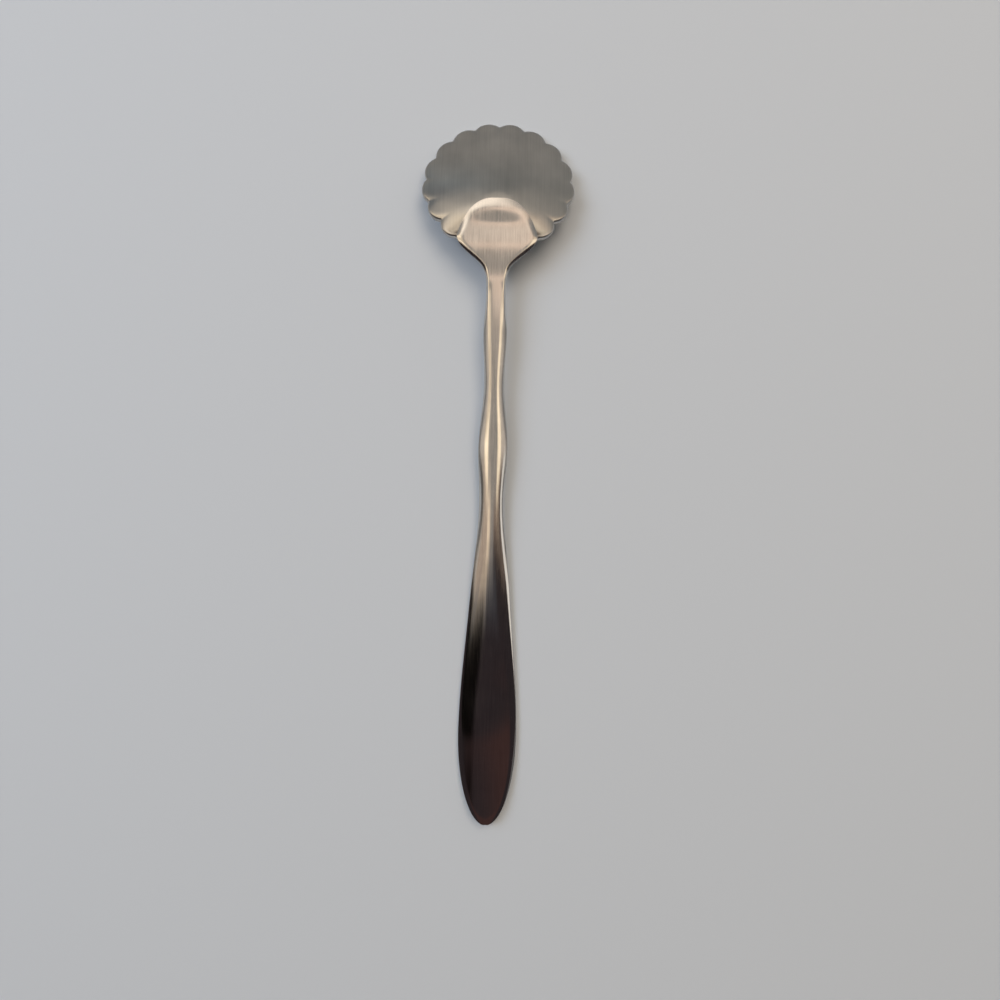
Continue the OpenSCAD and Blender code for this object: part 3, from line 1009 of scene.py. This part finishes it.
@dataclass(frozen=True)
class SoftLamp:
    """A round soft lamp that shines at the spoon. It lights the table and casts the shadow."""

    name: str
    place: Point
    size: float
    power: float
    colour: str

    def hang(self) -> None:
        """Hangs the lamp in its place."""
        bpy.ops.object.light_add(type="AREA", location=self.place)
        lamp = bpy.context.active_object
        lamp.name = self.name
        lamp.rotation_euler = (-Vector(self.place)).to_track_quat("-Z", "Y").to_euler()
        lamp.data.shape = "DISK"
        lamp.data.size = self.size
        lamp.data.energy = self.power
        lamp.data.color = linear(self.colour)[:3]
        lamp.visible_glossy = False


@dataclass
class Studio:
    """The table, the camera over it and the room's soft light."""

    height: float = 135.1
    lens: float = 27.04
    over: tuple[float, float] = (1.44, -4.77)
    roll: float = math.radians(1.2)
    sensor: float = 36.0
    near_clip: float = 5.0
    table_size: float = 4.0
    table_colour: str = "#ced9e3"
    table_roughness: float = 0.8
    table_sheen: float = 0.2
    walls: str = "#a39c95"
    horizon: str = "#7d7a77"
    horizon_angles: tuple[float, float] = (6.0, 13.0)
    zones: list[LightZone] = field(default_factory=lambda: [
        # Dim ceiling and wall past the tip, which the bowl shows
        LightZone((25, 120), (-95, 95), 2, "#8f8d89"),
        LightZone((25, 80), (-95, -14), 12, "#949ca0"),
        LightZone((38, 50), (-75, -25.5), 3, "#565e69"),
        LightZone((27, 37), (-75, -22), 5, "#a7a19a"),
        LightZone((20, 28), (-75, -22), 4, "#b0a59a"),
        LightZone((20, 39), (-17, 11), 4, "#ddd0c2"),
        LightZone((46, 72), (-75, -42), 4, "#69727c"),
        LightZone((60, 100), (-60, 95), 10, "#a19c96"),
        # Pale walls at both sides, on the flanks of the stem
        LightZone((-20, 14), (-80, -46), 5, "#d6c9bb"),
        LightZone((-20, 14), (44, 80), 5, "#d6c9bb"),
        # Warm light overhead, on the stem's bevels, the tongue and the arch
        LightZone((-7.2, 1), (-46, -15), 2.5, "#ffeacc", 1.9),
        LightZone((-11.2, -6.8), (-62, -15), 1.2, "#c1ab99"),
        LightZone((-10.8, -6.5), (-14, -4.5), 1.2, "#ffe6c8", 1.3),
        LightZone((-12.2, -10.4), (-26, -8), 1.2, "#dcc6ae"),
        LightZone((1, 8), (-50, -15), 4, "#f2dcc0"),
        LightZone((8, 20.5), (-50, -17.5), 4, "#ffeacc", 1.8),
        LightZone((-24, 9.3), (15, 44), 2.5, "#ffeacc", 1.6),
        LightZone((10.3, 17), (12, 40), 2.5, "#e6ccb2"),
        LightZone((8, 18.5), (2, 14), 3, "#ffe5cf", 1.25),
        LightZone((8.3, 12.5), (-5, 7), 1.2, "#ffe2cb", 1.35),
        LightZone((15.8, 27), (-24, 3), 2.5, "#fff0de", 1.65),
        # Dark side of the room, in the polished end of the handle
        LightZone((-120, -26), (-95, 95), 4, "#6a6868"),
        LightZone((-30, -7), (5, 64), 0.5, "#9a8272"),
        LightZone((-30, -9.2), (5, 64), 1.6, "#302a2c"),
        LightZone((-26, -10.9), (-8, 14), 2.2, "#4a4a4f"),
        LightZone((-95, -13.3), (-80, 46), 1.2, "#322b2d"),
        LightZone((-18.4, -12.8), (-80, -11.5), 1.4, "#030303"),
        LightZone((-60, -17.4), (-18, 18), 1.6, "#463230", 1.0, 0.1),
        # Bright strip low on the right, along the edge of the handle
        LightZone((-26, -8), (66, 84), 2, "#f4eee6", 1.2),
    ])
    lamps: list[SoftLamp] = field(default_factory=lambda: [
        SoftLamp("window side", (-0.42, 0.16, 0.46), 0.42, 1.4, "#dfeafd"),
        SoftLamp("room side", (0.2, 0.36, 0.6), 0.45, 1.65, "#ffe7d0"),
    ])

    def set_camera(self) -> None:
        """Puts the camera straight over the spoon."""
        bpy.ops.object.camera_add(
            location=(self.over[0] * MM, self.over[1] * MM, self.height * MM), rotation=(0, 0, self.roll))
        camera = bpy.context.active_object
        camera.name = "camera"
        camera.data.lens = self.lens
        camera.data.sensor_width = self.sensor
        camera.data.clip_start = self.near_clip * MM
        bpy.context.scene.camera = camera

    def lay_table(self) -> None:
        """Lays the plain pale table that the spoon lies on."""
        bpy.ops.object.select_all(action="DESELECT")
        bpy.ops.mesh.primitive_plane_add(size=self.table_size)
        table = new_piece("table")
        # Matt laminate: pale and even, with a faint sheen, so that it shows the soft shadow and nothing else
        material = bpy.data.materials.new("matt laminate")
        material.use_nodes = True
        shader = material.node_tree.nodes["Principled BSDF"]
        shader.inputs["Base Color"].default_value = linear(self.table_colour)
        shader.inputs["Roughness"].default_value = self.table_roughness
        shader.inputs["Specular IOR Level"].default_value = self.table_sheen
        table.data.materials.append(material)

    def light_room(self) -> None:
        """Lights the room: plain walls, with the zones of light and shade laid over them in order."""
        world = bpy.data.worlds.new("soft room")
        bpy.context.scene.world = world
        world.use_nodes = True
        tree = world.node_tree
        tree.nodes.clear()
        place = add_node(tree, "TexCoord")
        axes = add_node(tree, "SeparateXYZ", {"Vector": place.outputs["Generated"]})
        along = add_node(tree, "Math", {0: axes.outputs["Y"], 1: axes.outputs["Z"]}, operation="ARCTAN2")
        across = add_node(tree, "Math", {0: axes.outputs["X"]}, operation="ARCSINE")
        colour = linear(self.walls)
        for zone in self.zones:
            colour = zone.lay_over(tree, along.outputs[0], across.outputs[0], colour)
        low = add_node(tree, "MapRange", {
            "Value": axes.outputs["Z"],
            "From Min": math.sin(math.radians(self.horizon_angles[0])),
            "From Max": math.sin(math.radians(self.horizon_angles[1])),
        }, interpolation_type="SMOOTHSTEP")
        sky = add_node(tree, "Mix", {"Factor": low.outputs["Result"], 6: linear(self.horizon), 7: colour},
                       data_type="RGBA")
        room = add_node(tree, "Background", {"Color": sky.outputs[2], "Strength": 1.0})
        add_node(tree, "OutputWorld", {"Surface": room.outputs["Background"]})

    def build(self) -> None:
        """Sets the camera, the table and the light."""
        bpy.context.scene.view_settings.view_transform = "Standard"
        self.set_camera()
        self.lay_table()
        self.light_room()
        for lamp in self.lamps:
            lamp.hang()


# Satin steel: a grey sheen with faint lines along the bowl, too soft to mirror anything
SATIN_STEEL = BrushedSteel(
    "satin stainless steel, brushed lengthwise", pale="#dad8d4", dark="#9c9d9c", roughness=(0.3, 0.3),
    polish_mm=(40, 60), spread=0.08, stretch=0.8, line_mm=0.22, run_mm=9.0, line_depth_mm=0.001,
    smudge_mm=5.0, smudge=0.6)
# Polished steel: warm soft bands at the neck that sharpen to a dark mirror at the handle's end
POLISHED_STEEL = BrushedSteel(
    "polished stainless steel, brushed lengthwise", pale="#eae8e5", dark="#b0aeab", roughness=(0.075, 0.19),
    polish_mm=(-30, 20), spread=0.25, stretch=0.6, line_mm=0.14, run_mm=6.0, line_depth_mm=0.001,
    smudge_mm=3.0, smudge=0.4)
# Flowed braze: a yellowish, slightly lumpy line where it shows beside the tongue
FLOWED_BRAZE = BrushedSteel(
    "silver braze, as flowed", pale="#e0d4b8", dark="#c9b994", roughness=(0.3, 0.3),
    polish_mm=(40, 60), spread=0.15, stretch=0.0, line_mm=0.6, run_mm=0.6, line_depth_mm=0.003,
    smudge_mm=2.0, smudge=0.5)


def main() -> None:
    """Builds the spoon's pieces in order, then the studio round them."""
    logging.basicConfig(level=logging.INFO, format="%(name)s %(message)s")
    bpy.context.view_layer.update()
    bowl = ScallopedBowl(tip_y=BOWL_TIP_Y)
    bowl.build(SATIN_STEEL.make())
    handle = ForgedHandle(bowl=bowl, point_y=HANDLE_POINT_Y)
    handle.build(POLISHED_STEEL.make())
    BrazeLayer().dress(FLOWED_BRAZE.make())
    Studio().build()


if __name__ == "__main__":
    main()
